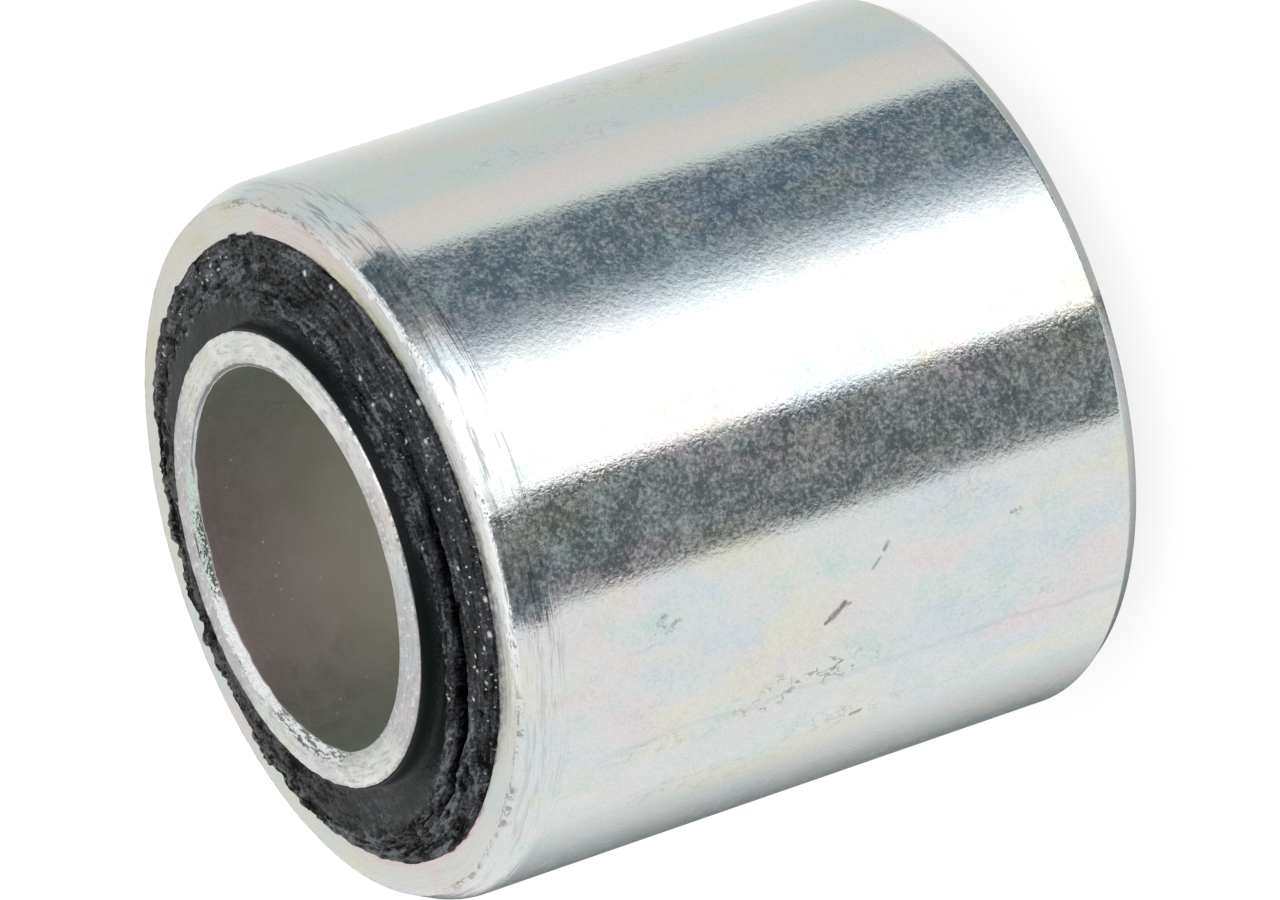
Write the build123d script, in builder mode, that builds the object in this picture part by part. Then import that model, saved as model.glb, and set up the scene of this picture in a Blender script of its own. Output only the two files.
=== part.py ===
from build123d import *
import math
import os

# Rubber metal bush: a moulded rubber ring bonded between two plated steel sleeves.
# Millimetres. The bush stands on one end: +Z runs along the bore, and the origin
# is the centre of the inner sleeve's lower end.

# ---- the three rings, from the bore outwards ----
bore_diameter = 16.0         # clears an M16 bolt
inner_wall = 1.5
rubber_thickness = 3.5
outer_wall = 2.0

# ---- outer sleeve, pressed into its housing ----
outer_length = 29.0
lead_in_length = 1.3         # long shallow chamfer that guides the bush into its housing
lead_in_depth = 0.6
rear_chamfer_length = 0.65   # short chamfer at the lower end
rear_chamfer_depth = 0.4

# ---- inner sleeve, clamped by the bolt that passes through it ----
projection = 1.5             # how far each end stands out of the outer sleeve
mouth_bevel = 0.3            # bevel round each mouth of the bore
edge_break = 0.12            # broken outer edge of each end

# ---- end faces of the rubber, heights above the outer sleeve's ends ----
root_rise = 0.45             # where the rubber leaves the inner sleeve
crest_rise = 0.7             # crest of the bead moulded round the inner sleeve
crest_offset = 0.55          # from the inner sleeve's wall to that crest
crest_round = 0.35
rim_rise = 0.15              # where the rubber meets the outer sleeve

# ---- the fold in the upper end face, a crescent that runs out at both ends ----
fold_bearing = 248.0         # direction of its deepest point, from +X, in degrees
fold_offset = 1.5            # from the inner sleeve's wall to its deepest point
fold_drift = 3.1             # how far the centre of its arc lies off the bore's axis
fold_depth = 0.9             # its deepest point, below the bead's crest
fold_tilt = 12.0             # lifts the far side of its arc clear of the rubber, in degrees
fold_inner_slope = 37.0      # the flank towards the bore, from upright, in degrees
fold_outer_slope = 4.0       # the flank towards the outer sleeve, from upright, in degrees

# ---- what follows from them ----
bore_radius = bore_diameter / 2
inner_radius = bore_radius + inner_wall
bond_radius = inner_radius + rubber_thickness
outer_radius = bond_radius + outer_wall
outer_bottom = projection
outer_top = outer_bottom + outer_length
inner_length = outer_length + 2 * projection

os.makedirs("parts", exist_ok=True)


# Outer sleeve: a length of tube with two unlike chamfers, turned in one section.
with BuildPart() as outer_sleeve:
    with BuildSketch(Plane.XZ) as sleeve_section:
        with BuildLine() as sleeve_outline:
            Polyline(
                (bond_radius, outer_bottom),
                (outer_radius - rear_chamfer_depth, outer_bottom),
                (outer_radius, outer_bottom + rear_chamfer_length),
                (outer_radius, outer_top - lead_in_length),
                (outer_radius - lead_in_depth, outer_top),
                (bond_radius, outer_top),
                close=True,
            )
        make_face()
    revolve(axis=Axis.Z)


# Inner sleeve: a plain tube with bevelled mouths and broken outer edges.
with BuildPart() as inner_sleeve:
    Cylinder(inner_radius, inner_length, align=(Align.CENTER, Align.CENTER, Align.MIN))
    Cylinder(
        bore_radius,
        inner_length,
        align=(Align.CENTER, Align.CENTER, Align.MIN),
        mode=Mode.SUBTRACT,
    )
    end_faces = inner_sleeve.faces().filter_by(GeomType.PLANE)
    end_edges = end_faces.edges().filter_by(GeomType.CIRCLE).sort_by(SortBy.RADIUS)
    mouth_edges = end_edges[:2]
    rim_edges = end_edges[2:]
    chamfer(mouth_edges, mouth_bevel)
    fillet(rim_edges, edge_break)


# Rubber: bonded to both sleeves over their whole overlap. Each end face rises to a
# rounded bead beside the inner sleeve and falls away to the outer one.
with BuildPart() as rubber_insert:
    with BuildSketch(Plane.XZ) as rubber_section:
        with BuildLine() as rubber_outline:
            Polyline(
                (inner_radius, outer_bottom - root_rise),
                (inner_radius + crest_offset, outer_bottom - crest_rise),
                (bond_radius, outer_bottom - rim_rise),
                (bond_radius, outer_top + rim_rise),
                (inner_radius + crest_offset, outer_top + crest_rise),
                (inner_radius, outer_top + root_rise),
                close=True,
            )
        make_face()
        crests = rubber_section.vertices().group_by(Axis.Y)
        fillet([crests[0][0], crests[-1][0]], crest_round)
    revolve(axis=Axis.Z)

    # The fold is cut by a thin wedge swept round a tilted axis, so that it is deepest
    # at its bearing and runs out of the face on both sides of it.
    bearing = math.radians(fold_bearing)
    tilt = math.radians(fold_tilt)
    fold_radius = inner_radius + fold_offset + fold_drift
    outward = Vector(math.cos(bearing), math.sin(bearing), 0)
    up = Vector(0, 0, 1)
    fold_floor = outer_top + crest_rise - fold_depth
    deepest = outward * (inner_radius + fold_offset) + up * fold_floor
    spoke = outward * math.cos(tilt) - up * math.sin(tilt)
    fold_normal = outward * math.sin(tilt) + up * math.cos(tilt)
    fold_plane = Plane(origin=deepest, x_dir=spoke, z_dir=spoke.cross(fold_normal))
    wedge_height = 2 * fold_depth
    inner_lean = wedge_height * math.tan(math.radians(fold_inner_slope))
    outer_lean = wedge_height * math.tan(math.radians(fold_outer_slope))
    with BuildSketch(fold_plane) as wedge_section:
        with BuildLine() as wedge_outline:
            Polyline(
                (0, 0),
                (outer_lean, wedge_height),
                (-inner_lean, wedge_height),
                close=True,
            )
        make_face()
    fold_axis = Axis(deepest - spoke * fold_radius, fold_normal)
    revolve(axis=fold_axis, mode=Mode.SUBTRACT)


outer_sleeve.part.label = "outer_sleeve"
inner_sleeve.part.label = "inner_sleeve"
rubber_insert.part.label = "rubber_insert"
export_step(outer_sleeve.part, "parts/outer_sleeve.step")
export_step(inner_sleeve.part, "parts/inner_sleeve.step")
export_step(rubber_insert.part, "parts/rubber_insert.step")
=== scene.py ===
import math

import bmesh
import bpy
import numpy as np
from mathutils import Matrix, Vector


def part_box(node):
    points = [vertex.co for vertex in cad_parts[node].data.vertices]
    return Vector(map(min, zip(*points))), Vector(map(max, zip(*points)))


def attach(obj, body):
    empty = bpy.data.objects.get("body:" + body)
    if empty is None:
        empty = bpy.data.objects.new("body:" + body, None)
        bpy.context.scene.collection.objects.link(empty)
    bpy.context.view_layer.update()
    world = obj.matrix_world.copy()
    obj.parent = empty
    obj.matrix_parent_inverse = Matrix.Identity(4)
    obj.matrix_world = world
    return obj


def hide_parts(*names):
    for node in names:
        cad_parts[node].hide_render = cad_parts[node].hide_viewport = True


# A rubber metal bush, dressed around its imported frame: two zinc plated steel sleeves
# with a moulded rubber ring between them. Lengths are in millimetres unless a name
# says otherwise. A bearing is in degrees from +X towards +Y, seen from above, and a
# front angle is in degrees from -Y towards +X.

MM = 0.001

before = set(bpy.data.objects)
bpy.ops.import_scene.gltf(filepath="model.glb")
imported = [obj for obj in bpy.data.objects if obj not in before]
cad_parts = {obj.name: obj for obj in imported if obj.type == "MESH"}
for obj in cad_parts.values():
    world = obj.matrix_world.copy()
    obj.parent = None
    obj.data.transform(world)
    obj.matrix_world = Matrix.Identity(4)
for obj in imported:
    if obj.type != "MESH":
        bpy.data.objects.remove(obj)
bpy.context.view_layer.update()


def reach(node):
    """A node's radius, lowest and highest point."""
    low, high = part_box(node)
    return min(-low.x, high.x, -low.y, high.y) / MM, low.z / MM, high.z / MM


outer_radius, outer_bottom, outer_top = reach("outer_sleeve")
bond_radius = reach("rubber_insert")[0]
inner_radius, inner_bottom, inner_top = reach("inner_sleeve")
inner_wall = 1.5
bore_radius = inner_radius - inner_wall

lead_in_length = 1.3
lead_in_depth = 0.6
rear_chamfer_length = 0.65
rear_chamfer_depth = 0.4
mouth_bevel = 0.3
face_radius = outer_radius - lead_in_depth
side_degree = outer_radius * math.pi / 180     # length of one degree round the side


# ---- nodes in short calls


class Signal:
    """What a node gives: a number, a colour or a place. Arithmetic on it adds nodes, and
    a | b is the larger of the two. Its ramps, steps and bands count from its zero."""

    def __init__(self, tree, socket, zero=0):
        self.tree, self.socket, self.zero = tree, socket, zero

    def past(self, zero):
        """The same signal, with its zero moved."""
        return Signal(self.tree, self.socket, zero)

    def math(self, operation, *others, **settings):
        return self.tree.add("Math", self, *others, operation=operation, **settings)

    def __add__(self, other):
        return self.math("ADD", other)

    def __sub__(self, other):
        return self.math("SUBTRACT", other)

    def __rsub__(self, other):
        return self.tree.add("Math", other, self, operation="SUBTRACT")

    def __mul__(self, other):
        return self.math("MULTIPLY", other)

    def __or__(self, other):
        return self.math("MAXIMUM", other)

    __ror__ = __or__

    def __abs__(self):
        return self.math("ABSOLUTE")

    def ramp(self, start, end, low=0, high=1, kind="LINEAR"):
        """A straight ramp from low to high as this goes from start to end."""
        start, end = (at if isinstance(at, Signal) else self.zero + at for at in (start, end))
        return self.tree.add("MapRange", self, start, end, low, high, interpolation_type=kind)

    def step(self, start, end, low=0, high=1):
        """A smooth step from low to high as this goes from start to end."""
        return self.ramp(start, end, low, high, "SMOOTHSTEP")

    def band(self, start, end, soft_start, soft_end):
        """One between start and end, and zero outside, with a soft edge inside each."""
        return self.step(start, start + soft_start) * self.step(end - soft_end, end, 1, 0)

    def vector(self, operation, *others, out="Vector", **named):
        return self.tree.add("VectorMath", self, *others, operation=operation, out=out, **named)

    def length(self):
        return self.vector("LENGTH", out="Value")

    def stretch(self, factors, shift=(0, 0, 0)):
        return self.vector("MULTIPLY_ADD", factors, shift)

    def split(self):
        return self.tree.add("SeparateXYZ", self, out=(0, 1, 2))

    def cylinder(self):
        """Front angle in degrees, distance from the axis and height of this place."""
        x, y, z = self.split()
        front = x.math("ARCTAN2", y * -1).math("DEGREES")
        return front, self.tree.point(x, y).length(), z

    def ring(self, length, rise=1):
        """A place for noise whose lumps are length times as long round the axis as across.
        rise is the share of the height in it."""
        front, radius, height = self.cylinder()
        turn = front.math("RADIANS")
        x, y = (turn.math(operation) * (outer_radius / length) for operation in ("SINE", "COSINE"))
        return self.tree.point(x, y, radius + height * rise)

    def noise(self, size, detail=2, roughness=0.5, shift=0):
        """Soft noise, about 0.5, whose lumps are size across in the units of this place."""
        moved = self.stretch((1, 1, 1), (shift, shift, shift)) if shift else self
        return self.tree.add(
            "TexNoise", Vector=moved, Scale=0.5 / size, Detail=detail, Roughness=roughness, out="Fac"
        )

    def specks(self, spacing, size, share):
        """Small ragged dots of differing brightness, in a share of the cells of a net."""
        gap, cell = self.tree.add(
            "TexVoronoi", feature="F1", Vector=self, Scale=1 / spacing, out=("Distance", "Color")
        )
        chance, own_size, bright = self.tree.add("SeparateColor", cell, out=(0, 1, 2))
        ragged = self.noise(size * 0.6, 1).ramp(0.2, 0.8, 0.5, 1.5)
        own_size = own_size.ramp(0, 1, 0.55 * size, 1.1 * size)
        inside = (gap * spacing * ragged).math("LESS_THAN", own_size * 0.5)
        return inside * bright.ramp(0, 1, 0.25, 1) * chance.math("LESS_THAN", share)

    def bump(self, depth, over=None):
        """A normal for relief. A height of one stands for depth, over the normal below it."""
        below = {} if over is None else {"Normal": over}
        return self.tree.add(
            "Bump", Strength=1, Distance=depth * MM, Height=self, out="Normal", **below
        )


class Tree:
    """A node tree. A value that its calls take is a plain one or a Signal."""

    def __init__(self, tree):
        tree.nodes.clear()
        self.tree = tree

    def put(self, socket, value):
        if isinstance(value, Signal):
            self.tree.links.new(value.socket, socket)
        else:
            socket.default_value = value

    def node(self, kind, *values, **named):
        """A new node. Its inputs come in order or by name, and other names are settings."""
        node = self.tree.nodes.new("ShaderNode" + kind)
        for name, value in named.items():
            if name in node.inputs:
                self.put(node.inputs[name], value)
            else:
                setattr(node, name, value)
        for socket, value in zip(node.inputs, values):
            self.put(socket, value)
        return node

    def add(self, kind, *values, out=0, **named):
        """One output of a new node, or several where out is a tuple."""
        outputs = self.node(kind, *values, **named).outputs
        if isinstance(out, tuple):
            return [Signal(self, outputs[which]) for which in out]
        return Signal(self, outputs[out])

    def point(self, x, y, z=0):
        return self.add("CombineXYZ", x, y, z)

    def attribute(self, name):
        return self.add("Attribute", attribute_name=name, out="Fac")


def mix(share, a, b):
    """The colour that goes from a to b as share goes from zero to one."""
    node = share.tree.node("Mix", share, data_type="RGBA")
    for socket, colour in zip(node.inputs[6:8], (a, b)):      # the two that take a colour
        share.tree.put(socket, colour if isinstance(colour, Signal) else (*colour, 1))
    return Signal(share.tree, node.outputs[2])


def coated(colour, *coats):
    """A colour under coats of others. A coat is its share and its colour."""
    for share, coat in coats:
        colour = mix(share, colour, coat)
    return colour


def new_material(name):
    """A material and its empty tree."""
    material = bpy.data.materials.new(name)
    material.use_nodes = True
    return material, Tree(material.node_tree)


def shaded_by(surface):
    """A material whose shader has the inputs that surface(place) gives. place is in
    millimetres."""
    material, tree = new_material(surface.__name__)
    place = tree.add("TexCoord", out="Object").stretch((1 / MM, 1 / MM, 1 / MM))
    shader = tree.add("BsdfPrincipled", **surface(place))
    tree.node("OutputMaterial", Surface=shader)
    return material


# ---- camera and studio

camera_aim = Vector((-0.14, 0, 15.83))
camera_distance = 544.04
camera_elevation = 26.91
camera_roll = 108.29          # the bush lies on its side in the picture
lens_length = 379.77
sensor_width = 36


def placed(name, data):
    """A new object in the scene."""
    item = bpy.data.objects.new(name, data)
    bpy.context.scene.collection.objects.link(item)
    return item


def add_camera():
    elevation = math.radians(camera_elevation)
    roll = math.radians(camera_roll)
    back = Vector((0, -math.cos(elevation), math.sin(elevation)))
    level_right = Vector((1, 0, 0))
    level_up = Vector((0, math.sin(elevation), math.cos(elevation)))
    right = level_right * math.cos(roll) - level_up * math.sin(roll)
    up = level_right * math.sin(roll) + level_up * math.cos(roll)
    turn = Matrix((right, up, back)).transposed().to_4x4()
    data = bpy.data.cameras.new("camera")
    data.sensor_fit = "HORIZONTAL"
    data.sensor_width = sensor_width
    data.lens = lens_length
    data.clip_start = 0.01
    data.clip_end = 10
    camera = placed("camera", data)
    camera.matrix_world = Matrix.Translation((camera_aim + back * camera_distance) * MM) @ turn
    bpy.context.scene.camera = camera


# The studio is a white room with cards and one bright strip, which stand round the bush
# and show in its plating as bands along the axis. For each: the bearings of its two edges
# at level_of_edges, how soft they are, their lean, which is how far they have turned
# lean_span degrees higher up, its colour, and the elevations between which it fades out.
high_top = (48, 62)
low_top = (-22, -10)
studio_cards = (
    ((-14, 100), (8, 10), (0, 0), (0.85, 0.87, 0.85), high_top),
    ((0, 76), (30, 34), (0, 0), (0.73, 0.76, 0.74), high_top),
    ((-58, -4), (26, 5), (13, 3), (0.085, 0.133, 0.178), high_top),
    ((-94, -40), (5, 24), (0, 8), (1.75, 1.75, 1.75), high_top),
    ((-131, -91.5), (6, 2), (-4, -4), (0.095, 0.114, 0.124), high_top),
    ((84, 156), (4, 56), (0, 0), (0.19, 0.215, 0.22), low_top),
)
level_of_edges = -26
lean_span = 46
white = (1, 1, 1)


def light_studio():
    world = bpy.data.worlds.new("studio")
    world.use_nodes = True
    tree = Tree(world.node_tree)
    x, y, z = tree.add("TexCoord", out="Generated").split()
    bearing = y.math("ARCTAN2", x).math("DEGREES")
    elevation = z.math("ARCSINE").math("DEGREES")
    higher = elevation.ramp(level_of_edges, level_of_edges + lean_span)
    colour = white
    for edges, soft, leans, card_colour, top in studio_cards:
        past_start, past_end = (
            bearing - higher.math("MULTIPLY_ADD", lean, edge) for edge, lean in zip(edges, leans)
        )
        inside = past_start.step(0, soft[0]) * past_end.step(-soft[1], 0, 1, 0)
        colour = mix(inside * elevation.step(*top, 1, 0), colour, card_colour)
    seen = mix(tree.add("LightPath", out="Is Camera Ray"), colour, white)
    tree.node("OutputWorld", Surface=tree.add("Background", Color=seen))
    world.cycles.sampling_method = "NONE"
    bpy.context.scene.world = world


floor_radius = 1000
floor_sides = 96


def floor_paper():
    """White paper: to the camera it glows up to white, and still shows the shadow. From
    below it is clear."""
    material, tree = new_material("floor_paper")
    plain = tree.add("BsdfDiffuse", Color=(0.8, 0.8, 0.8, 1))
    dim = tree.add("BsdfDiffuse", Color=(0.22, 0.22, 0.22, 1))
    glowing = tree.add("AddShader", dim, tree.add("Emission", Strength=0.84))
    to_camera = tree.add("LightPath", out="Is Camera Ray")
    paper = tree.add("MixShader", to_camera, plain, glowing)
    from_below = tree.add("NewGeometry", out="Backfacing")
    sided = tree.add("MixShader", from_below, paper, tree.add("BsdfTransparent"))
    tree.node("OutputMaterial", Surface=sided)
    return material


def add_floor():
    mesh = bpy.data.meshes.new("floor")
    net = bmesh.new()
    bmesh.ops.create_circle(net, cap_ends=True, segments=floor_sides, radius=floor_radius * MM)
    net.to_mesh(mesh)
    net.free()
    mesh.materials.append(floor_paper())
    floor = placed("floor", mesh)
    floor.location.z = inner_bottom * MM
    floor.visible_glossy = False


# ---- turned forms


def smooth(value, start, end):
    """A smooth step from zero to one as value goes from start to end."""
    share = np.clip((value - start) / (end - start), 0, 1)
    return share * share * (3 - 2 * share)


def lumps(u, v, seed, wrap=256, wrap_up=256):
    """Seeded soft noise from -1 to 1, with lumps one unit apart, that repeats after wrap
    units of u and wrap_up units of v."""
    table = np.random.default_rng(seed).uniform(-1, 1, (wrap, wrap_up))
    column, row = np.floor(u).astype(int), np.floor(v).astype(int)
    across, up = smooth(u - column, 0, 1), smooth(v - row, 0, 1)
    corner = [table[(column + i) % wrap, (row + j) % wrap_up] for j in (0, 1) for i in (0, 1)]
    low = corner[0] + (corner[1] - corner[0]) * across
    high = corner[2] + (corner[3] - corner[2]) * across
    return low + (high - low) * up


def ring_lumps(bearing, across, count, size, seed):
    """Noise round a ring: count lumps round it, each size wide across it."""
    return lumps(bearing / 360 * count, across / size, seed, count)


def line_lumps(bearing, count, seed):
    """Noise along a line round a ring."""
    return ring_lumps(bearing, 0 * bearing, count, 1, seed)


def turn_from(bearing, middle):
    """How far bearing lies from middle, from -180 to 180 degrees."""
    return (bearing - middle + 180) % 360 - 180


def near(bearing, middle, half_width, soft):
    """One within half_width degrees of middle, falling to zero over soft degrees more."""
    return smooth(np.abs(turn_from(bearing, middle)), half_width + soft, half_width)


def unit(vector):
    return vector / np.linalg.norm(vector)


def outline(spacing, *corners, arc_steps=6):
    """A closed section through (radius, height, rounding) corners, as an array of points."""
    points = []
    for index in range(len(corners)):
        before, corner, after = (
            np.array(corners[(index + shift) % len(corners)][:2], float) for shift in (-1, 0, 1)
        )
        to_before, to_after = unit(before - corner), unit(after - corner)
        half = math.acos(np.clip(to_before @ to_after, -1, 1)) / 2
        rounding = corners[index][2]
        run = rounding / math.tan(half)
        centre = corner + unit(to_before + to_after) * rounding / math.sin(half)
        start = corner + to_before * run - centre
        end = corner + to_after * run - centre
        for part in np.linspace(0, 1, arc_steps + 1):
            points.append(centre + unit(start * (1 - part) + end * part) * rounding)
    filled = []
    for here, there in zip(points, points[1:] + points[:1]):
        steps = max(1, math.ceil(np.linalg.norm(there - here) / spacing))
        filled += [here + (there - here) * step / steps for step in range(steps)]
    return np.array(filled)


def turned(name, section, segments, shape, stains=None):
    """Turns a closed section about the bore's axis. shape(bearing, radius, height) returns
    the radius and height to use instead. stains(bearing, radius, height) returns a share
    for each point, by the name that the material reads it by."""
    rows = len(section)
    bearing = np.repeat(np.arange(segments) * 360 / segments, rows)
    radius = np.tile(section[:, 0], segments)
    height = np.tile(section[:, 1], segments)
    radius, height = shape(bearing, radius, height)
    angle = np.radians(bearing)
    places = np.stack([radius * np.cos(angle), radius * np.sin(angle), height], 1) * MM
    row = np.arange(rows)
    column = np.arange(segments)[:, None]
    here = column * rows + row
    up = column * rows + (row + 1) % rows
    side = (column + 1) % segments * rows
    faces = np.stack([here, side + row, side + (row + 1) % rows, up], 2).reshape(-1, 4)
    mesh = bpy.data.meshes.new(name)
    mesh.from_pydata(places.tolist(), [], faces.tolist())
    net = bmesh.new()
    net.from_mesh(mesh)
    bmesh.ops.recalc_face_normals(net, faces=net.faces)
    net.to_mesh(mesh)
    net.free()
    mesh.shade_smooth()
    for stain, share in stains(bearing, radius, height).items() if stains else ():
        values = mesh.attributes.new(stain, "FLOAT", "POINT").data
        values.foreach_set("value", share.astype(np.float32))
    return placed(name, mesh)


def dress(piece, surface, node):
    piece.data.materials.append(shaded_by(surface))
    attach(piece, "root")
    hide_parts(node)


# ---- outer sleeve

sleeve_segments = 720


def uneven_sleeve(bearing, radius, height):
    """Small nicks and waves along the outer edge of the upper end face."""
    rim = smooth(radius, face_radius - 0.35, face_radius) * smooth(height, outer_top - 0.3, outer_top)
    nicks = ring_lumps(bearing, height, 150, 4, 11) * 0.5 + ring_lumps(bearing, height, 400, 4, 12) * 0.5
    return radius, height - rim * (0.02 + 0.025 * nicks)


def add_outer_sleeve():
    section = outline(
        0.64,
        (bond_radius, outer_bottom, 0.06),
        (outer_radius - rear_chamfer_depth, outer_bottom, 0.12),
        (outer_radius, outer_bottom + rear_chamfer_length, 0.3),
        (outer_radius, outer_top - lead_in_length, 1.6),
        (face_radius, outer_top, 0.1),
        (bond_radius, outer_top, 0.06),
    )
    piece = turned("outer_sleeve_shell", section, sleeve_segments, uneven_sleeve)
    dress(piece, outer_plate, "outer_sleeve")


# ---- inner sleeve

bevel_side = 112              # bearing of the widest part of the worn bevel


def worn_mouth(bearing, radius, height):
    """The bevel round the upper mouth, wide on one side and all but gone on the other, and
    nicks along the face's outer edge."""
    wide = np.maximum(near(bearing, bevel_side, 48, 22), 0.38 * near(bearing, 15, 45, 15))
    upper = height > (inner_bottom + inner_top) / 2
    bevel = upper & (radius < bore_radius + 0.5)
    chips = ring_lumps(bearing, height, 90, 4, 21) + 0.6 * ring_lumps(bearing, height, 260, 4, 22)
    scale = 0.12 + 0.88 * wide
    radius = np.where(bevel, bore_radius + (radius - bore_radius) * scale, radius)
    depth = (inner_top - height) * (scale + 0.14 * wide * chips)
    height = np.where(bevel & (height > inner_top - 0.6), inner_top - depth, height)
    shift = 0.035 * ring_lumps(bearing, height, 60, 4, 23) + 0.03 * chips
    radius = radius + np.where(bevel & (height > inner_top - 0.1), shift * (0.3 + wide), 0)
    brim = smooth(radius, inner_radius - 0.12, inner_radius) * smooth(height, inner_top - 0.25, inner_top)
    nicks = ring_lumps(bearing, height, 120, 4, 24) + 0.7 * ring_lumps(bearing, height, 330, 4, 25)
    return radius - brim * (0.03 + 0.022 * nicks), height - brim * (0.02 + 0.015 * nicks)


def add_inner_sleeve():
    section = outline(
        0.7,
        (bore_radius, inner_bottom + mouth_bevel, 0.1),
        (bore_radius + mouth_bevel, inner_bottom, 0.1),
        (inner_radius, inner_bottom, 0.1),
        (inner_radius, inner_top, 0.07),
        (bore_radius + 0.5, inner_top, 0.08),
        (bore_radius, inner_top - 0.28, 0.05),
    )
    piece = turned("inner_tube", section, sleeve_segments, worn_mouth)
    dress(piece, inner_plate, "inner_sleeve")


# ---- rubber

# The bead's crest is a circle that lies off the bore's axis, as its mould did, so that it
# hugs the inner sleeve in front and meets the outer sleeve behind.
crest_radius = 11.237
crest_centre = (-0.375, 1.581)
fold_reach = 1.25             # from the crest to the outer edge of the fold, in front
crest_mark = inner_radius + 0.55      # the section's own crest, which the shape moves
fold_mark = crest_mark + fold_reach
skin_top = inner_top - 0.12   # the thin skin of rubber that climbs the inner sleeve
skin = 0.03
fold_middle = 252             # bearing of the slit's middle
fold_depth = 1.4
bead_foot = outer_bottom - 0.45       # the lower end's bead, and the cone outside it
bead_width = 1.1
cone_width = 2.4
cone_rise = 0.55
rubber_segments = 1000

# (start, end, reach): rags of rubber that lie over the outer sleeve's edge, by bearing
rags = (
    (-11.5, -9.3, 0.1), (-4.6, -2.6, 0.11), (24, 58, 0.1), (34, 57, 0.14), (47, 56, 0.06),
    (63, 71, 0.12), (74.8, 80.6, 0.15), (84.2, 93.6, 0.18), (94.4, 99.6, 0.17), (99, 103, 0.08),
    (107, 110, 0.05), (117.4, 125.2, 0.16), (130, 138, 0.16), (138, 148, 0.08), (170, 176, 0.05),
    (188, 198, 0.06),
)
# (bearing, radius, size, depth): pits torn into the face
pits = (
    (34, 12.1, 0.25, 0.16), (37.6, 12, 0.28, 0.18), (44.8, 12.2, 0.34, 0.24),
    (66, 12.1, 0.25, 0.12), (222.5, 12, 0.3, 0.1), (208, 11.95, 0.35, 0.22),
    (228, 12.1, 0.35, 0.14), (134, 12.2, 0.3, 0.12), (121, 12, 0.3, 0.12),
)


def crest_at(bearing):
    """The crest's distance from the bore's axis."""
    angle = np.radians(bearing)
    along = crest_centre[0] * np.cos(angle) + crest_centre[1] * np.sin(angle)
    aside = crest_centre[0] * np.sin(angle) - crest_centre[1] * np.cos(angle)
    return along + np.sqrt(crest_radius**2 - aside**2)


def fold_edge_at(bearing):
    """The fold's outer edge, which closes up on the crest where there is no room."""
    crest = crest_at(bearing)
    room = bond_radius - crest
    tighter = 1 - 0.25 * near(bearing, 198, 14, 14)
    return crest + fold_reach * tighter * (1 - np.exp(-room / 1.1))


def rim_rags(bearing):
    """How far the rubber laps over the outer sleeve's edge."""
    fuzz = 0.4 * line_lumps(bearing, 150, 31) + 0.5 * line_lumps(bearing, 290, 32)
    fuzz = fuzz + 0.5 * line_lumps(bearing, 450, 33)
    reach = 0.02 + 0.02 * line_lumps(bearing, 60, 34)
    for start, end, length in rags:
        aside = np.abs(turn_from(bearing, (start + end) / 2)) - (end - start) / 2
        reach = reach + length * smooth(aside + 0.3 * fuzz, 0.4, -0.4)
    far = smooth(np.cos(np.radians(bearing - 90)), -0.3, 0.7)
    return np.maximum(reach + (0.017 + 0.018 * far) * fuzz, -0.03)


def fold_opening(bearing, outside):
    """How open the fold is: a deep slit in front, that narrows and fades to both sides.
    outside goes from zero on the crest to one at the fold's outer edge."""
    aside = turn_from(bearing, fold_middle)
    open_share = smooth(aside, -62, -26) * smooth(aside, 42, 26)
    wander = 0.09 * line_lumps(bearing, 44, 41) + 0.06 * line_lumps(bearing, 150, 42)
    inner_lip = 0.52 + wander - 0.1 * near(bearing, 250, 4, 6) + 0.12 * smooth(aside, 8, 14)
    inner_lip = inner_lip + 0.14 * smooth(aside, 20, 32) + 0.28 * (1 - open_share)
    inner_lip = inner_lip - 0.17 * near(bearing, 220, 11, 8)
    outer_lip = 1 + 0.4 * np.minimum(wander, 0)
    slit = smooth(outside, inner_lip - 0.05, inner_lip + 0.1) * (outside < outer_lip)
    bridge = near(bearing, 261.8, 0.7, 1)
    return open_share**0.6 * slit * (1 - 0.8 * bridge)


def face_height(bearing, radius):
    """Height of the rubber's upper end face over the outer sleeve's end."""
    crest, fold_edge = crest_at(bearing), fold_edge_at(bearing)
    toward_front = np.cos(np.radians(bearing - 262))
    crest_rise = 0.46 + 0.2 * toward_front
    ring_rise = 0.265 + 0.085 * toward_front
    rim_rise = 0.08 - 0.02 * toward_front
    root_rise = 0.4
    inside = np.clip((radius - inner_radius) / (crest - inner_radius), 0, 1)
    dip = root_rise + (crest_rise - root_rise) * inside**2.2
    dip = dip + 0.5 * np.exp(-((radius - inner_radius) / 0.1))
    outside = (radius - crest) / (fold_edge - crest)
    shoulder = crest_rise + (ring_rise - crest_rise) * smooth(outside, 0, 1)
    ring = np.clip((radius - fold_edge) / (bond_radius - fold_edge), 0, 1)
    beyond = ring_rise + (rim_rise - ring_rise) * ring**2.5
    height = np.where(radius < crest, dip, np.where(radius < fold_edge, shoulder, beyond))
    return height - fold_depth * fold_opening(bearing, outside)


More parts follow.
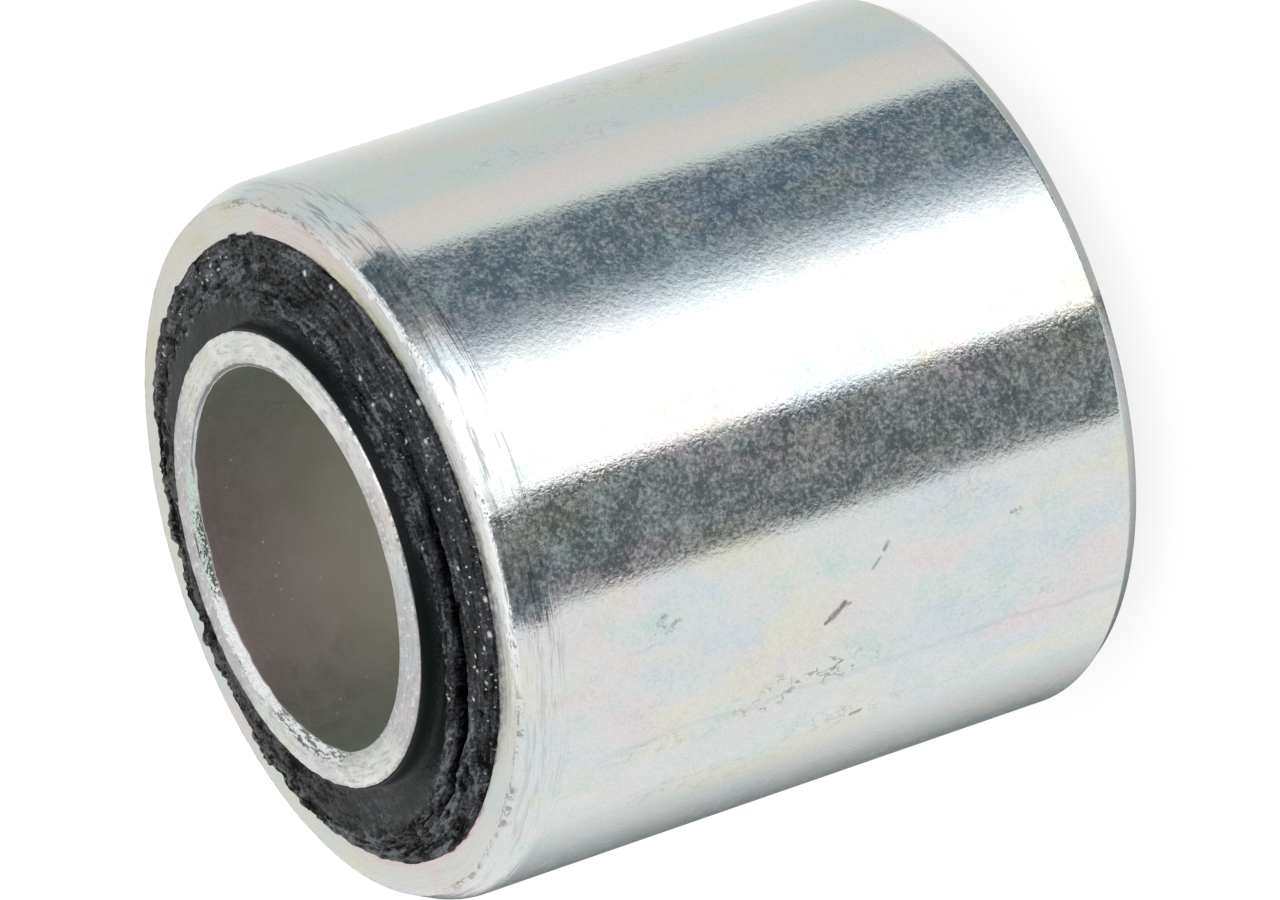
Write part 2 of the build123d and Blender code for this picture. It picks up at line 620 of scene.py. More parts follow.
def roughness_at(bearing, radius):
    """How rough the face is: smooth in the hollow, torn along the rim and at the back."""
    from_crest = radius - crest_at(bearing)
    outside = smooth(from_crest, -0.35, 0.05)
    in_hollow = 0.25 + 0.4 * near(bearing, 310, 40, 25) + 0.15 * near(bearing, 230, 25, 20)
    in_hollow = in_hollow + 0.35 * near(bearing, 140, 28, 20)
    back = near(bearing, 30, 55, 40)
    torn = near(bearing, 188, 26, 20) * smooth(radius, 10.7, 11.3)
    far_band = near(bearing, 100, 34, 18)
    outer = 0.85 + 0.15 * back + 0.25 * torn + 0.8 * far_band
    return in_hollow + (outer - in_hollow) * np.maximum(outside, far_band)


def face_relief(bearing, radius):
    """Flow lines, grains, lumps and tears of the rubber's upper end face."""
    from_crest = radius - crest_at(bearing)
    warp = ring_lumps(bearing, radius, 90, 0.5, 57), ring_lumps(bearing, radius, 90, 0.5, 58)
    bearing, radius = bearing + 1.6 * warp[0], radius + 0.16 * warp[1]
    bend = 0.25 * ring_lumps(bearing, radius, 40, 0.7, 50)
    flow = ring_lumps(bearing, from_crest + bend, 75, 0.17, 51)
    thread = ring_lumps(bearing, from_crest + bend, 150, 0.1, 52)
    x, y = radius * np.cos(np.radians(bearing)), radius * np.sin(np.radians(bearing))
    grains = lumps(x / 0.17, y / 0.3, 53)
    lump = lumps(x / 0.45, y / 0.75, 54)
    dents = lumps(x / 0.38, y / 0.65, 55)
    beyond = smooth(from_crest, -0.3, 0.05)
    on_crest = np.exp(-((from_crest / 0.3) ** 2))
    back = near(bearing, 40, 50, 40)
    torn = near(bearing, 190, 26, 20) * smooth(radius, 10.9, 11.4)
    far_band = near(bearing, 100, 36, 20)
    relief = 0.026 * flow + 0.024 * thread + 0.022 * grains + 0.014 * lump
    relief = roughness_at(bearing, radius) * relief
    relief = relief + on_crest * (0.035 * grains + 0.015 * thread)
    relief = relief + torn * (0.05 * flow + 0.06 * thread + 0.03 * lump)
    relief = relief + far_band * (0.02 * lump + 0.01 * grains)
    deep = 0.02 + 0.07 * back + 0.05 * torn + 0.08 * far_band
    relief = relief - beyond * deep * smooth(dents, 0.4, 0.9)
    for middle, at, size, depth in pits:
        arc = np.radians(turn_from(bearing, middle)) * at
        relief = relief - depth * np.exp(-((arc**2 + (radius - at) ** 2) / (size * 0.6) ** 2))
    return relief


# (bearing, radius, size) of the larger crumbs of white dust
crumbs = (
    (231, 11.7, 0.08), (236.5, 12.5, 0.08), (246.5, 12.9, 0.13), (251.8, 11.85, 0.08),
    (253, 12.95, 0.12), (261.7, 10.75, 0.1), (283, 12.4, 0.1), (289.5, 13, 0.12),
    (295, 11.7, 0.1), (298, 10.3, 0.08), (304.7, 10.5, 0.12), (320, 12.7, 0.12),
    (328.8, 12.4, 0.13), (7, 12.3, 0.08), (11, 11.95, 0.08), (41, 12.65, 0.1),
    (168.8, 11.05, 0.06), (143, 11.65, 0.05), (4.5, 12, 0.06), (9.7, 12.05, 0.05), (13, 12, 0.06),
    (6.2, 12.35, 0.06), (1.8, 12.4, 0.05), (14.5, 12.4, 0.04), (72, 11.9, 0.05), (238, 12, 0.07),
    (241, 11.9, 0.08), (243.5, 12.5, 0.07), (258.6, 11.7, 0.08), (272, 12.2, 0.06), (286, 11.1, 0.07),
    (227, 10.35, 0.08), (263.5, 9.75, 0.08), (310.8, 9.95, 0.05), (322.5, 9.95, 0.06),
)


def crumbs_at(bearing, radius):
    """White crumbs that lie on the face."""
    share = np.zeros_like(radius)
    for middle, at, size in crumbs:
        arc = np.radians(turn_from(bearing, middle)) * at
        share = np.maximum(share, smooth(np.hypot(arc, radius - at), size * 1.25, size * 0.55))
    return share


def fine_dust_at(bearing, from_crest):
    """Where the finer dust has settled."""
    in_front = near(bearing, 258, 26, 30)
    at_back = 0.8 * near(bearing, 8, 8, 8) * near(bearing, 8, 60, 1)
    far_band = 0.8 * near(bearing, 50, 35, 20)
    on_crest = 0.25 + 0.2 * (np.abs(from_crest) < 0.3)
    most = np.maximum(np.maximum(in_front, at_back), np.maximum(far_band, 0.25))
    most = smooth(from_crest, 0.2, 0.7) * most
    return np.maximum(most, on_crest * smooth(from_crest, -0.5, -0.2))


# (bearing, half width in degrees, radius, reach across, strength) of the film's patches
film_patches = (
    (347, 8, 10.3, 0.55, 1.2), (20, 18, 11.45, 0.35, 0.55), (185, 16, 11.2, 0.35, 0.7),
    (312, 8, 11.9, 0.6, 0.35), (200, 8, 11, 0.3, 0.6), (322, 6, 12.4, 0.6, 0.2),
    (231, 9, 10.3, 0.4, 0.8), (214, 8, 10.5, 0.3, 0.35), (267, 6, 10, 0.3, 0.6),
    (300, 12, 10.7, 0.6, 0.35), (353, 9, 12.2, 0.8, 0.6),
)


# (bearing, half width and softness in degrees, radius, reach across with and without its
# soft edge, strength) of the patches that are blacker than the rest
black_patches = (
    (334, 9, 6, 11.4, 1, 0.5, 1), (134, 16, 16, 11.4, 1.3, 0.8, 1), (224, 10, 8, 12.3, 0.9, 0.5, 0.5),
)


def film_and_crest_highlight_at(bearing, radius, from_crest):
    """Where the face is paler: a painted highlight along the crest, and a pale film over the
    rough parts in the listed patches.
    """
    broken = smooth(ring_lumps(bearing, radius, 60, 0.9, 61), -0.6, 0.3)
    flecked = smooth(ring_lumps(bearing, radius, 190, 0.25, 62), -0.5, 0.4)
    # painted highlight: a pale flecked line along the crest
    ridge = np.exp(-(((from_crest - 0.02) / 0.15) ** 2)) * (0.35 + 0.65 * flecked)
    share = 1.1 * ridge * (0.3 + 0.7 * near(bearing, 250, 38, 20))
    for middle, half_width, at, reach, much in film_patches:
        patch = near(bearing, middle, half_width, 5) * smooth(np.abs(radius - at), reach, 0.6 * reach)
        share = np.maximum(share, much * patch * (0.25 + 0.35 * broken + 0.4 * flecked))
    black = 0
    for middle, half_width, soft, at, reach, inside, much in black_patches:
        patch = near(bearing, middle, half_width, soft) * smooth(np.abs(radius - at), reach, inside)
        black = np.maximum(black, much * patch)
    return np.clip(share, 0, 1.3) * (1 - black) - 0.9 * black


def rubber_stains(bearing, radius, height):
    """Shares of the looks of the rubber's surface, for its material."""
    crest, fold_edge = crest_at(bearing), fold_edge_at(bearing)
    from_crest = radius - crest
    opening = fold_opening(bearing, from_crest / (fold_edge - crest))
    in_front = smooth(np.cos(np.radians(bearing - 258)), 0, 0.75)
    on_top = (height > outer_top - 1.2) * (height < outer_top + 0.95)
    return {
        "dust": crumbs_at(bearing, radius) * (height > outer_top + 0.01),
        "dust_places": fine_dust_at(bearing, from_crest) * on_top,
        "film": film_and_crest_highlight_at(bearing, radius, from_crest) * on_top,
        # fold: where the slit lies, which the material paints black as shade
        "fold": smooth(opening, 0.02, 0.25) * on_top,
        "hollow": smooth(from_crest, -0.05, -0.35),
        "shaded": smooth(from_crest, -0.1, -0.4) * in_front,      # deep and narrow
        # raised: the face's relief height, which the material also paints as light and shade
        "raised": 0.5 + np.clip(face_relief(bearing, radius) / 0.24, -0.5, 0.5) * on_top,
        "rough": roughness_at(bearing, radius) * on_top,
    }


def moulded(bearing, radius, height):
    """Moves the plain section's rows onto the crest, the fold and the ragged rim."""
    crest, fold_edge = crest_at(bearing), fold_edge_at(bearing)
    marks = (inner_radius, crest_mark, fold_mark, bond_radius)
    places = (inner_radius, crest, fold_edge, bond_radius)
    upper = height > outer_top - 0.02
    moved = np.full_like(radius, bond_radius)
    for start, end, here, there in zip(marks, marks[1:], places, places[1:]):
        within = (radius >= start) & (radius <= end)
        share = (radius - start) / (end - start)
        moved = np.where(within, here + (there - here) * share, moved)
    reach = rim_rags(bearing)
    rise = face_height(bearing, moved) + face_relief(bearing, moved)
    rim = smooth(moved, bond_radius - 0.6, bond_radius - 0.1)
    rise = rise + 0.4 * np.maximum(reach - 0.05, 0) * rim
    rise = np.where(moved > bond_radius - 0.2, np.maximum(rise, 0.03), rise)
    moved = moved + smooth(moved, bond_radius - 0.12, bond_radius) * reach
    on_face = upper & (height > outer_top + 0.01) & (height < outer_top + 0.2)
    return np.where(upper, moved, radius), np.where(on_face, outer_top + rise, height)


def add_rubber():
    """The lower end is plain: a bead beside the inner sleeve, and a cone out to the rim."""
    lower_bead = [
        (inner_radius + run, bead_foot - 0.25 * math.sin(run / bead_width * math.pi / 2))
        for run in np.linspace(0.05, bead_width, 6)
    ]
    lower_cone = [
        (radius, outer_bottom - 0.15 - cone_rise * (bond_radius - radius) / cone_width)
        for radius in np.linspace(inner_radius + 1.3, bond_radius, 6)
    ]
    wall = [
        (bond_radius, height)
        for height in (outer_bottom + 0.5, outer_top - 0.5, outer_top - 0.05, outer_top + 0.002)
    ]
    face_radii = (
        *np.linspace(bond_radius, fold_mark, 33, endpoint=False),
        *np.linspace(fold_mark, crest_mark, 26, endpoint=False),
        *np.linspace(crest_mark, inner_radius + skin, 17),
    )
    section = np.array(
        [
            (inner_radius, skin_top),
            (inner_radius, bead_foot + 0.05),
            *lower_bead,
            *lower_cone,
            *wall,
            *[(radius, outer_top + 0.1) for radius in face_radii],
            (inner_radius + skin, outer_top + 1),
            (inner_radius + skin, skin_top - 0.06),
            (inner_radius + 0.6 * skin, skin_top),
        ]
    )
    piece = turned("rubber_moulding", section, rubber_segments, moulded, rubber_stains)
    dress(piece, black_rubber, "rubber_insert")


# ---- materials


plain_zinc = (0.7, 0.715, 0.705)
# (tint, tint of its haze, size, shift) of the pink, blue, yellow and green clouds
zinc_clouds = (
    ((0.74, 0.68, 0.68), (0.71, 0.64, 0.68), 2, 3),
    ((0.64, 0.7, 0.73), (0.57, 0.68, 0.76), 1.7, 17),
    ((0.72, 0.72, 0.62), (0.7, 0.69, 0.62), 1.4, 31),
    ((0.67, 0.715, 0.69), (0.55, 0.72, 0.67), 0.9, 47),
)


def zinc_colour(place):
    """Bright zinc with the faint, cloudy tints of its passivation, and a stronger tint for
    its haze."""
    colour, tinted = plain_zinc, plain_zinc
    along = place.stretch((1, 1, 0.5))
    for tint, strong, size, shift in zinc_clouds:
        share = along.noise(size, shift=shift).step(0.48, 0.66, 0, 0.85)
        colour, tinted = mix(share, colour, tint), mix(share, tinted, strong)
    return colour, tinted


def haze_of(place):
    """The dull, worm-like grain that scatters light over the bright plating."""
    fine = place.noise(0.1, 2.5, 0.65, 7)
    ridge = abs(place.noise(0.12, 3, 0.65, 12) - 0.5)
    patch = place.noise(0.45, 3, 0.65, 5)
    broad = place.noise(1.3, 2, 0.6, 25)
    haze = fine.ramp(0.34, 0.68, -0.08, 0.98) + ridge.ramp(0, 0.07, 0.26, -0.1)
    haze = haze + patch.ramp(0.3, 0.7, -0.38, 0.34) + broad.ramp(0.3, 0.7, -0.22, 0.22)
    return haze, fine


# Marks on the outer sleeve's side: (bearing, height) of both ends, width, darkness
side_marks = (
    ((-126.6, 16.55), (-126, 16.3), 0.1, 0.8),
    ((-126, 16.3), (-125.3, 16), 0.18, 0.7),
    ((-124.9, 15.9), (-124.1, 15.65), 0.15, 0.8),
    ((-124.6, 15.7), (-124.5, 15.4), 0.1, 0.6),
    ((-116.3, 23.9), (-117.2, 24.2), 0.14, 0.4),
    ((-117.6, 23.4), (-118, 23.6), 0.1, 0.4),
    ((-119.9, 14.3), (-118.4, 13.9), 0.07, 0.5),
    ((-117.4, 13.7), (-116.4, 13.5), 0.1, 0.6),
    ((-134.8, 15.7), (-136, 16.1), 0.06, 0.7),
    ((-137, 17.9), (-137.3, 18.1), 0.12, 0.5),
    ((-118.2, 7.5), (-118.3, 7.7), 0.1, 0.5),
    ((-148, 14.2), (-148.2, 14.6), 0.13, 0.6),
)
# Patches of fine crazing beside them: (bearing, height, half width round the sleeve, half
# length along it, darkness)
crazed_patches = (
    (-135.6, 16.6, 0.8, 2.9, 1), (-138.4, 19.3, 0.45, 1.6, 0.9), (-147.5, 15.5, 0.7, 3.6, 0.45),
    (-139.5, 24, 0.5, 3.2, 0.35), (-117.5, 24, 0.5, 0.9, 0.9), (-121.5, 24.6, 0.5, 0.7, 0.4),
    (-133, 8, 0.8, 3, 0.28), (-113, 10, 0.8, 3.2, 0.28), (-152, 22, 0.9, 4, 0.35),
    (-118.3, 7.6, 0.25, 0.45, 0.9), (-20, 14, 1.2, 5, 0.4), (-34, 20, 0.8, 4, 0.35),
)


def crazing(around):
    """A web of hairlines where the plating has been knocked, from zero to one."""
    web = around.stretch((1, 0.7, 1)).noise(0.42, 3, 0.6, 88)
    line = abs(web - 0.5).step(0.01, 0.032, 1, 0)
    broken = around.noise(0.4, 2, 0.6, 57).step(0.4, 0.5)
    total = 0
    for bearing, height, half_width, half_length, dark in crazed_patches:
        x = (bearing + 90) * side_degree
        offset = around.stretch(
            (1 / half_width, 1 / half_length, 1), (-x / half_width, -height / half_length, 0)
        )
        total = total | offset.length().step(0.6, 1.2, dark, 0)
    return line * broken * total


def marks_on_side(around, place):
    """Scratches and smudges, broken up by noise, from zero to one."""
    ragged = place.noise(0.11, 2, 0.7, 61).ramp(0.25, 0.48)
    total = 0
    for start, end, width, dark in side_marks:
        (x0, y0), (x1, y1) = (((bearing + 90) * side_degree, z) for bearing, z in (start, end))
        along = Vector((x1 - x0, y1 - y0, 0))
        offset = around.stretch((1, 1, 1), (-x0, -y0, 0))
        share = offset.vector("DOT_PRODUCT", along / along.length_squared, out="Value")
        share = share.math("ADD", 0, use_clamp=True)
        nearest = around.tree.add("VectorMath", along, operation="SCALE", Scale=share)
        gap = offset.vector("DISTANCE", nearest, out="Value")
        total = total | gap.step(0.4 * width, 1.3 * width, dark, 0)
    return total * ragged


def side_haze_and_painted_light(hazy_colour, front, height, haze, fine):
    """The side's haze tint, and painted reflections by front angle: pink, blue with a coarse
    grain, slate and a paler painted highlight. The rear chamfer is painted darker as shade,
    with a frayed edge."""
    rear_edge = outer_bottom + rear_chamfer_length
    frayed = height + fine.ramp(0.3, 0.7, -0.1, 0.1)
    return (
        (haze.ramp(0.3, 1, 0, 0.85), hazy_colour),
        # the bands by front angle are painted reflections of the studio's cards and bright strip
        (front.band(41, 54, 5, 4) * 0.7, (0.76, 0.69, 0.67)),
        (front.band(14, 32, 8, 10) * haze.ramp(0, 0.8, 0.2, 0.75), (0.59, 0.7, 0.77)),
        (front.band(14, 27, 4, 6) * fine.step(0.51, 0.43) * 0.5, (0.34, 0.42, 0.48)),
        (front.band(33, 46, 6, 4) * 0.7, (0.66, 0.7, 0.68)),
        (front.band(4, 24, 4, 8) * 0.6, (0.83, 0.85, 0.87)),
        # painted shade: the rear chamfer is coloured darker
        (frayed.step(rear_edge, rear_edge - 0.15) * 0.6, (0.36, 0.36, 0.365)),
    )


def face_tints(place, front, from_rubber, face):
    """Tints of the end face, and the rubber smeared over it beside the moulding."""
    warm = place.ring(3).noise(0.9, 2, 0.5, 71).step(0.35, 0.65)
    yellow = face * (front.band(74, 160, 12, 30) | 0.25) * warm
    rosy = face * (front.band(34, 86, 12, 10) | 0.25) * (1 - warm)
    olive = (
        face
        * from_rubber.step(0.35, 0.8, 1, 0)
        * front.band(20, 62, 8, 16)
        * place.ring(2).noise(0.3, 2, 0.6, 66).step(0.38, 0.52)
    )
    by_rubber = face * from_rubber.step(0.18, 0.42, 1, 0) * front.band(-132, -58, 12, 12)
    smear = (
        face
        * from_rubber.step(0.05, 1.05, 1, 0)
        * (front.band(-54, 8, 24, 14) | front.band(-4, 50, 8, 10) * 0.45)
        * place.stretch((1, 0.45, 1)).noise(0.14, 2, 0.65, 81).ramp(0.34, 0.62, 0.35, 1)
    )
    return (
        (yellow, (0.7, 0.655, 0.545)),
        (rosy, (0.73, 0.62, 0.61)),
        (olive * 0.8, (0.66, 0.65, 0.44)),
        (by_rubber * 0.8, (0.8, 0.62, 0.66)),
        (smear, (0.06, 0.06, 0.062)),
    )


def scuffs(place, front, radius, from_top):
    """A broken line of small dark strokes where the edge of the face was scuffed."""
    wavy = place.ring(1).noise(1.1, 2, 0.5, 95)
    off_line = abs(radius - wavy.ramp(0.3, 0.7, face_radius - 0.24, face_radius + 0.04))
    heavy = place.ring(1.5).noise(1, 1, 0.5, 19).step(0.5, 0.62)
    line = off_line.step(heavy.ramp(0, 1, 0.04, 0.09), heavy.ramp(0, 1, 0.12, 0.22), 1, 0)
    strokes = place.ring(3.5).noise(0.06, 2, 0.65, 97).step(0.47, 0.56)
    scuffed = front.band(-88, -22, 6, 12) | front.band(46, 90, 8, 8)
    return line * from_top.step(-0.7, -0.4) * strokes * scuffed


def side_wear(place, around, front, height):
    """The side's marks and crazing, a faint crease along it, and nicks."""
    wavering = around.noise(2.5, 2, 0.5, 44).ramp(0.3, 0.7, 46.6, 48.8)
    crease = abs(front + wavering).step(0.15, 0.8, 1, 0) * height.step(27.5, 26)
    nicks = place.stretch((1, 1, 0.7)).specks(1.25, 0.09, 0.3)
    return (
        (marks_on_side(around, place), (0.13, 0.125, 0.11)),
        (crazing(around) * 0.75, (0.3, 0.31, 0.31)),
        (crease * 0.22, (0.48, 0.51, 0.53)),
        (nicks * 0.55, (0.25, 0.26, 0.25)),
    )


def turning_wear_and_painted_shade(place, streaks, shoulder, face, front, radius, from_top):
    """Smudges and grooves round the lead-in, a band of painted shade on it, and the lines
    of the lathe on the face.
    """
    # the narrow band from front -18 to -9 is painted shade on the lead-in; the wider band is a smudge
    smudge_and_painted_shade = (
        from_top.step(-2.4, -1)
        * from_top.step(-0.12, -0.2)
        * (front.band(22, 50, 8, 16) | front.band(-18, -9, 4, 3))
        * place.ring(14).noise(0.09, 3, 0.7, 14).ramp(0.4, 0.58, 0.3, 1)
    )
    in_front = front.band(-34, 76, 16, 24).ramp(0, 1, 0.35, 1)
    lathe_lines = (
        streaks.step(0.47, 0.58)
        * face
        * radius.step(bond_radius + 0.2, face_radius - 0.2, 0.7, 0.2)
        * front.band(-50, 12, 20, 14)
    )
    return (
        (smudge_and_painted_shade * 0.65, (0.25, 0.225, 0.205)),
        (streaks.step(0.5, 0.64) * shoulder * in_front * 0.7, (0.24, 0.25, 0.27)),
        (lathe_lines, (0.2, 0.2, 0.19)),
    )


def bared_edge(place, face, front, radius, from_top):
    """Bright metal along the worn edge between the face and the lead-in."""
    torn = place.ring(1.6).noise(0.16, 3, 0.65, 63)
    edge_line = (radius + torn.ramp(0.3, 0.7, -0.28, 0.28)).past(face_radius)
    bared = face * edge_line.step(-0.9, -0.5) * front.band(-24, 12, 10, 12)
    rubbed = edge_line.step(-0.3, -0.18) * from_top.step(-0.24, -0.12) * front.band(-38, 62, 16, 20)
    return (bared * 0.6, (0.9, 0.91, 0.92)), (rubbed * 0.9, (0.95, 0.955, 0.96))


def outer_plate(place):
    front, radius, height = place.cylinder()
    from_top = height.past(outer_top)
    around = place.tree.point(front * side_degree, height)
    haze, fine = haze_of(place)
    streaks = place.ring(22).noise(0.055, 2, 0.75, 3)

    # where on the sleeve: its face, the edge between face and lead-in, and the lead-in
    face = from_top.step(-0.09, -0.05)
    on_edge = radius.past(face_radius).step(-0.16, -0.06) * from_top.step(-0.2, -0.1)
    shoulder = from_top.step(-2.3, -1.5) * from_top.step(-0.6, -0.2, 1, 0.35)
    on_lead_in = height.past(outer_top - lead_in_length).step(-0.2, 0.4)

    zinc, hazy_zinc = zinc_colour(place)
    colour = coated(
        zinc,
        *side_haze_and_painted_light(hazy_zinc, front, height, haze, fine),
        *face_tints(place, front, radius.past(bond_radius), face),
        (scuffs(place, front, radius, from_top) * 0.65, (0.22, 0.22, 0.215)),
        *side_wear(place, around, front, height),
        *turning_wear_and_painted_shade(place, streaks, shoulder, face, front, radius, from_top),
        *bared_edge(place, face, front, radius, from_top),
    )

    # relief: grooves round the shoulder, dimples in the edge and the grain, which is
    # coarser where the dark cards' edges show in it
    dimples = around.stretch((0.45, 1, 1)).noise(0.12, 2, 0.6, 91)
    by_bands = front.band(10, 44, 8, 8) | front.band(-20, 0, 6, 6)
    relief = ((streaks - 0.5) * shoulder).bump(0.03)
    relief = ((dimples - 0.5) * on_edge).bump(0.14, relief)
    relief = (fine * by_bands.ramp(0, 1, 1, 2.2)).bump(0.005, relief)
    haze = haze * on_lead_in.step(0, 1, 1, 0.8)
    return {
        "Base Color": colour,
        "Metallic": haze.ramp(0, 1.2, 0.97, 0.5),
        "Roughness": haze.ramp(0, 1, 0.06, 0.1) | on_edge * 0.35 | face * 0.22,
        "Normal": relief,
    }


def inner_face_tints_and_painted_light(place, mottle, upper, front, behind, radius):
    """The inner sleeve's face: duller to the sides of the far half and in front, mottled with
    dark specks and painted glints, with lines round it, brown and amber by the mouth, and a
    border painted shaded on one side and with a painted highlight on the other."""
    broad = place.ring(2.2).noise(0.6, 2, 0.55, 13)
    pinkish = place.ring(3).noise(0.3, 2, 0.6, 33)
    lines = place.ring(9).noise(0.07, 2, 0.7, 73)
    dull = (
        behind.band(-38, 56, 14, 12)
        | front.band(-72, -4, 14, 20)
        | front.band(-118, -94, 8, 8) * 0.6
    )
    clean = front.band(15, 120, 12, 16) | front.band(-112, -78, 10, 10)
    pink = pinkish.step(0.48, 0.66) * dull.step(0, 1, 0.3, 0.6)
    bluish = pinkish.step(0.5, 0.36) * (front.band(-40, -8, 10, 8) | dull.step(0, 1, 0.1, 0.3))
    across = radius.band(8.15, 9.1, 0.3, 0.3)
    from_bore = radius.past(bore_radius)
    brown = front.band(-8, 18, 5, 8) * mottle.step(0.38, 0.62) * from_bore.step(1, 0.6) * upper
    amber = (
        (front.band(-13, -5, 3, 3) | front.band(18, 32, 4, 6))
        * from_bore.step(0.8, 0.3)
        * mottle.step(0.54, 0.44)
    )
    by_mouth = (
        from_bore.step(0.46, 0.22)
        * (front.band(-120, -36, 10, 8) | front.band(68, 130, 8, 10))
        * mottle.ramp(0.36, 0.58, 0.25, 0.7)
        * upper
    )
    border = radius.past(inner_radius).step(-0.2, -0.06)
    shadowed = border * front.band(-116, -40, 14, 20) * mottle.ramp(0.3, 0.6)
    # painted highlight: a pale line along the border's edge
    bright = border * front.band(4, 60, 14, 20) * mottle.step(0.58, 0.47)
    return (
        (dull * broad.step(0.3, 0.55, 0.6, 1), (0.525, 0.51, 0.515)),
        (clean * broad.step(0.62, 0.42), (0.83, 0.82, 0.8)),
        (pink, (0.63, 0.545, 0.55)),
        (bluish, (0.5, 0.57, 0.58)),
        (front.band(-44, -35, 4, 4) * across * 0.8, (0.55, 0.57, 0.68)),
        (front.band(-38, -29, 4, 4) * across * 0.8, (0.49, 0.61, 0.58)),
        (brown * 0.5, (0.3, 0.215, 0.195)),
        (amber * 0.7, (0.78, 0.66, 0.52)),
        (lines.step(0.5, 0.64) * 0.55, (0.38, 0.38, 0.39)),
        (mottle.step(0.52, 0.7) * dull.step(0, 1, 0.08, 0.5) * 0.75, (0.37, 0.37, 0.38)),
        # pale specks: painted glints in the dull zones
        (mottle.step(0.44, 0.34) * dull.step(0, 1, 0.5, 0.8), (0.82, 0.81, 0.8)),
        (by_mouth, (0.4, 0.41, 0.405)),
        (shadowed * 0.7, (0.3, 0.305, 0.32)),
        (bright * 0.8, (0.9, 0.9, 0.9)),
    )


def bevel_colour(place, scraped, strips, behind, radius):
    """The worn bevel round the mouth: scraped white at the back, chipped towards -X, with
    dark chips and then a thin mint and lilac edge towards +X."""
    off_middle = abs(radius - (bore_radius + 0.15))
    hairline = off_middle.step(0.035, 0.065, 1, 0) * behind.band(30, 66, 6, 6)
    chipped = behind.band(-96, -34, 12, 10) * strips.step(0.47, 0.56)
    chips = place.ring(2.4).noise(0.075, 3, 0.65, 53)
    chips = chips + radius.past(bore_radius).ramp(0, 0.45, 0.12, -0.09)
    return coated(
        mix(behind.step(48, 38), (0.62, 0.63, 0.7), (0.64, 0.715, 0.665)),
        (hairline * 0.8, (0.22, 0.22, 0.23)),
        (behind.step(54, 66), (0.25, 0.255, 0.25)),
        (behind.step(-76, -90), (0.33, 0.35, 0.335)),
        (scraped, (0.97, 0.975, 0.98)),
        (chipped * 0.9, (0.21, 0.215, 0.21)),
        (behind.band(-8, 28, 8, 8) * chips.step(0.49, 0.54) * 0.9, (0.055, 0.08, 0.07)),
    )


def bore_colour(place, in_bore, front, from_top):
    """The dull bore, darker by its mouth, with a few crumbs in it."""
    farther = abs(front).step(105, 160)
    colour = mix(
        from_top.ramp(-8, -0.8),
        mix(farther, (0.59, 0.66, 0.6), (0.9, 0.79, 0.72)),
        mix(farther, (0.38, 0.42, 0.355), (0.43, 0.345, 0.345)),
    )
    return mix(place.specks(0.5, 0.11, 0.35) * in_bore, colour, (0.95, 0.95, 0.88))


def inner_plate(place):
    front, radius, height = place.cylinder()
    from_top, from_bore = height.past(inner_top), radius.past(bore_radius)
    behind = (180 - abs(front)) * front.math("SIGN")      # from the far side, + towards +X
    haze, _ = haze_of(place)
    zinc, _ = zinc_colour(place)
    mottle = place.stretch((1, 0.5, 1)).noise(0.11, 3, 0.65, 3)
    flakes = place.ring(1.6).noise(0.13, 3, 0.65, 43)
    strips = place.ring(5).noise(0.1, 3, 0.65, 48)

    # where on the sleeve: its upper part, the bevel round the mouth, and the bore
    upper = from_top.step(-2, -1)
    below_face = from_top.step(-0.05, -0.02, 1, 0)
    ragged = (radius + flakes.ramp(0.3, 0.7, -0.24, 0.24)).past(bore_radius)
    over_edge = ragged.step(0.56, 0.48) * behind.band(-84, 44, 10, 14)
    in_bevel = (
        (below_face | over_edge) * from_bore.step(0.02, 0.06) * from_bore.step(1, 0.8) * upper
    )
    in_bore = from_bore.step(0.02, 0.05, 1, 0) * from_top.step(-0.3, -0.12, 1, 0)
    scraped = behind.band(-50, 2, 10, 6) | behind.band(-90, 6, 20, 6) * strips.step(0.58, 0.46)

    colour = coated(
        zinc,
        *inner_face_tints_and_painted_light(place, mottle, upper, front, behind, radius),
        (in_bevel, bevel_colour(place, scraped, strips, behind, radius)),
        (in_bore, bore_colour(place, in_bore, front, from_top)),
    )
    metal = haze.ramp(0, 1, 0.97, 0.72) * (scraped * in_bevel).step(0, 1, 1, 0.3)
    relief = ((flakes - 0.5) * in_bevel).bump(0.16)
    relief = ((mottle - 0.5) * in_bore.step(0, 1, 1, 0.25)).bump(0.04, relief)
    return {
        "Base Color": colour,
        "Metallic": metal,
        "Roughness": in_bore.step(0, 1, 0.3, 0.48),
        "Normal": relief,
    }


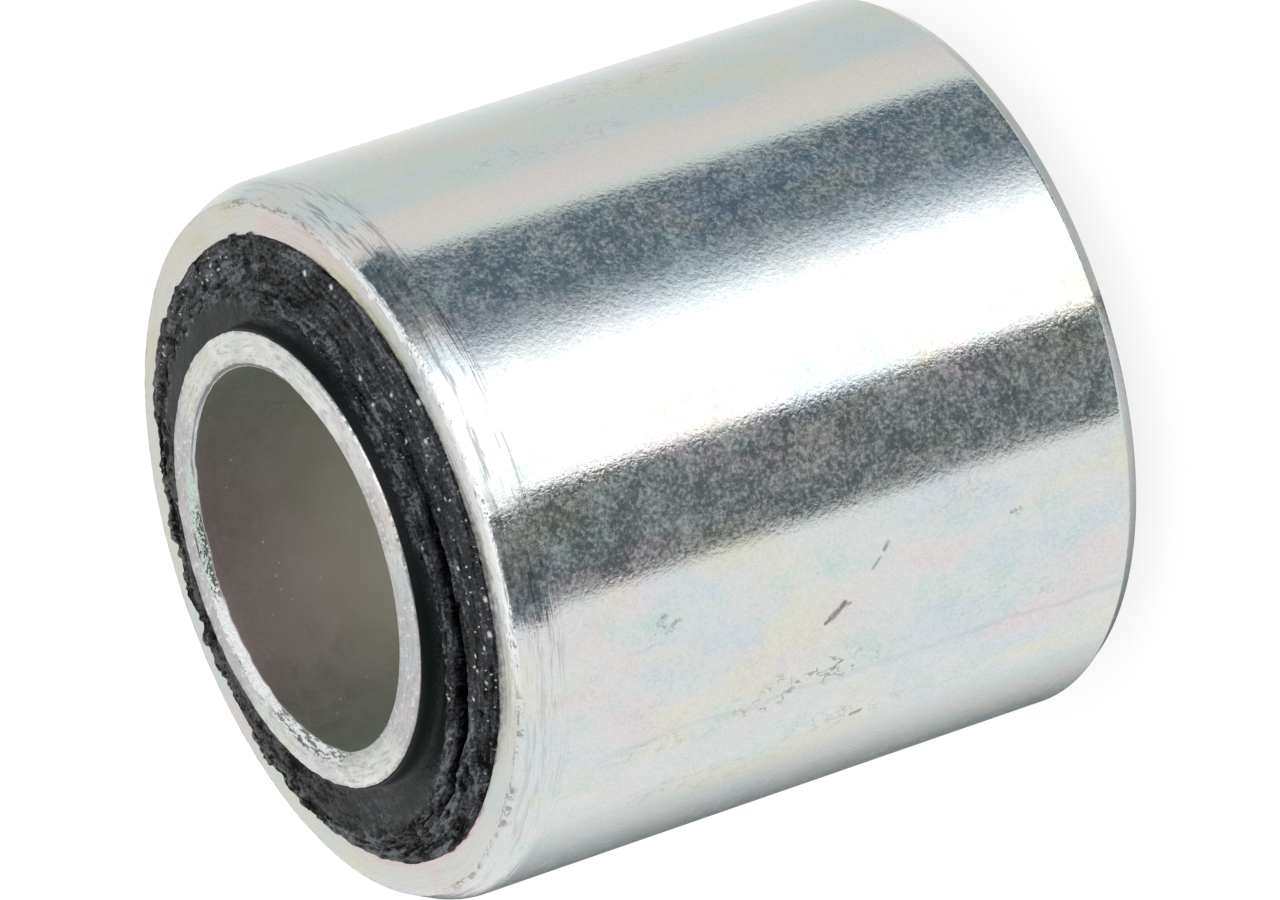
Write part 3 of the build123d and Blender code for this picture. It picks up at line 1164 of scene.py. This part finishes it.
def settled_dust(place, in_fold, dust_places):
    """Fine white dust of two sizes where it has settled, and none in the fold."""
    grains = place.stretch((1, 0.6, 0.6))
    small = grains.specks(0.24, 0.09, 0.46)
    larger = grains.stretch((1, 1, 1), (3.1, 1.7, 0.4)).specks(0.62, 0.15, 0.3)
    return (small * 0.8 | larger) * dust_places.step(0.05, 0.8) * in_fold.step(0, 0.5, 1, 0)


def black_rubber(place):
    rough, raised, film, in_hollow, in_fold, shaded, crumb, dust_places = (
        place.tree.attribute(name)
        for name in ("rough", "raised", "film", "hollow", "fold", "shaded", "dust", "dust_places")
    )
    fine = place.stretch((1, 0.5, 1.2)).noise(0.075, 2, 0.65)
    middle = place.ring(6, -1).noise(0.17, 2, 0.6, 21)
    broad = place.ring(2.5, -1).noise(0.8, 2, 0.55, 9)
    stripes = place.ring(9, -1).noise(0.1, 2, 0.6, 29)
    # tone varies at random, and the raised share makes high spots paler and low spots and pits darker:
    # painted light and shade over the relief
    tone = (fine - 0.5) * 1.5 + (middle - 0.5) * 1.5 + (broad - 0.5) * 1.1 + (raised - 0.5) * 0.7
    tone = tone * rough + film * 0.18 + (stripes - 0.5) * in_hollow * 0.5
    pale, deep = tone.step(0, 0.48), tone.step(-0.04, -0.38)

    front, _, _ = place.cylinder()
    behind = abs(front).step(100, 165)
    pale_colour = mix(behind, (0.15, 0.159, 0.176), (0.178, 0.173, 0.162))
    black = mix(behind, (0.008, 0.0095, 0.0128), (0.0108, 0.0102, 0.0094))
    white_dust = crumb | settled_dust(place, in_fold, dust_places)
    colour = coated(
        black,
        (pale, pale_colour),
        (deep, (0.0015, 0.0018, 0.0021)),
        (in_hollow * 0.45, (0.0085, 0.0092, 0.0105)),
        (shaded * 0.9, (0.0028, 0.0085, 0.007)),
        # painted shade: the fold's slit is coloured near black
        (in_fold, (0.0008, 0.001, 0.0012)),
        (white_dust, (0.66, 0.67, 0.66)),
    )
    # the gloss is cut in the fold, the shaded hollow and the deepest tone, which darkens the painted
    # shade there
    gloss = deep.step(0, 1, 0.3, 0.06) * in_fold.step(0, 1, 1, 0) * shaded.step(0, 1, 1, 0.55)
    return {
        "Base Color": colour,
        "Roughness": broad.step(0.3, 0.7, 0.44, 0.56) | pale * 0.9,
        "Specular IOR Level": gloss,
        "Normal": ((fine - 0.5) * rough).bump(0.1),
    }


scene = bpy.context.scene
scene.view_settings.view_transform = "Standard"
add_camera()
light_studio()
add_floor()
add_outer_sleeve()
add_inner_sleeve()
add_rubber()
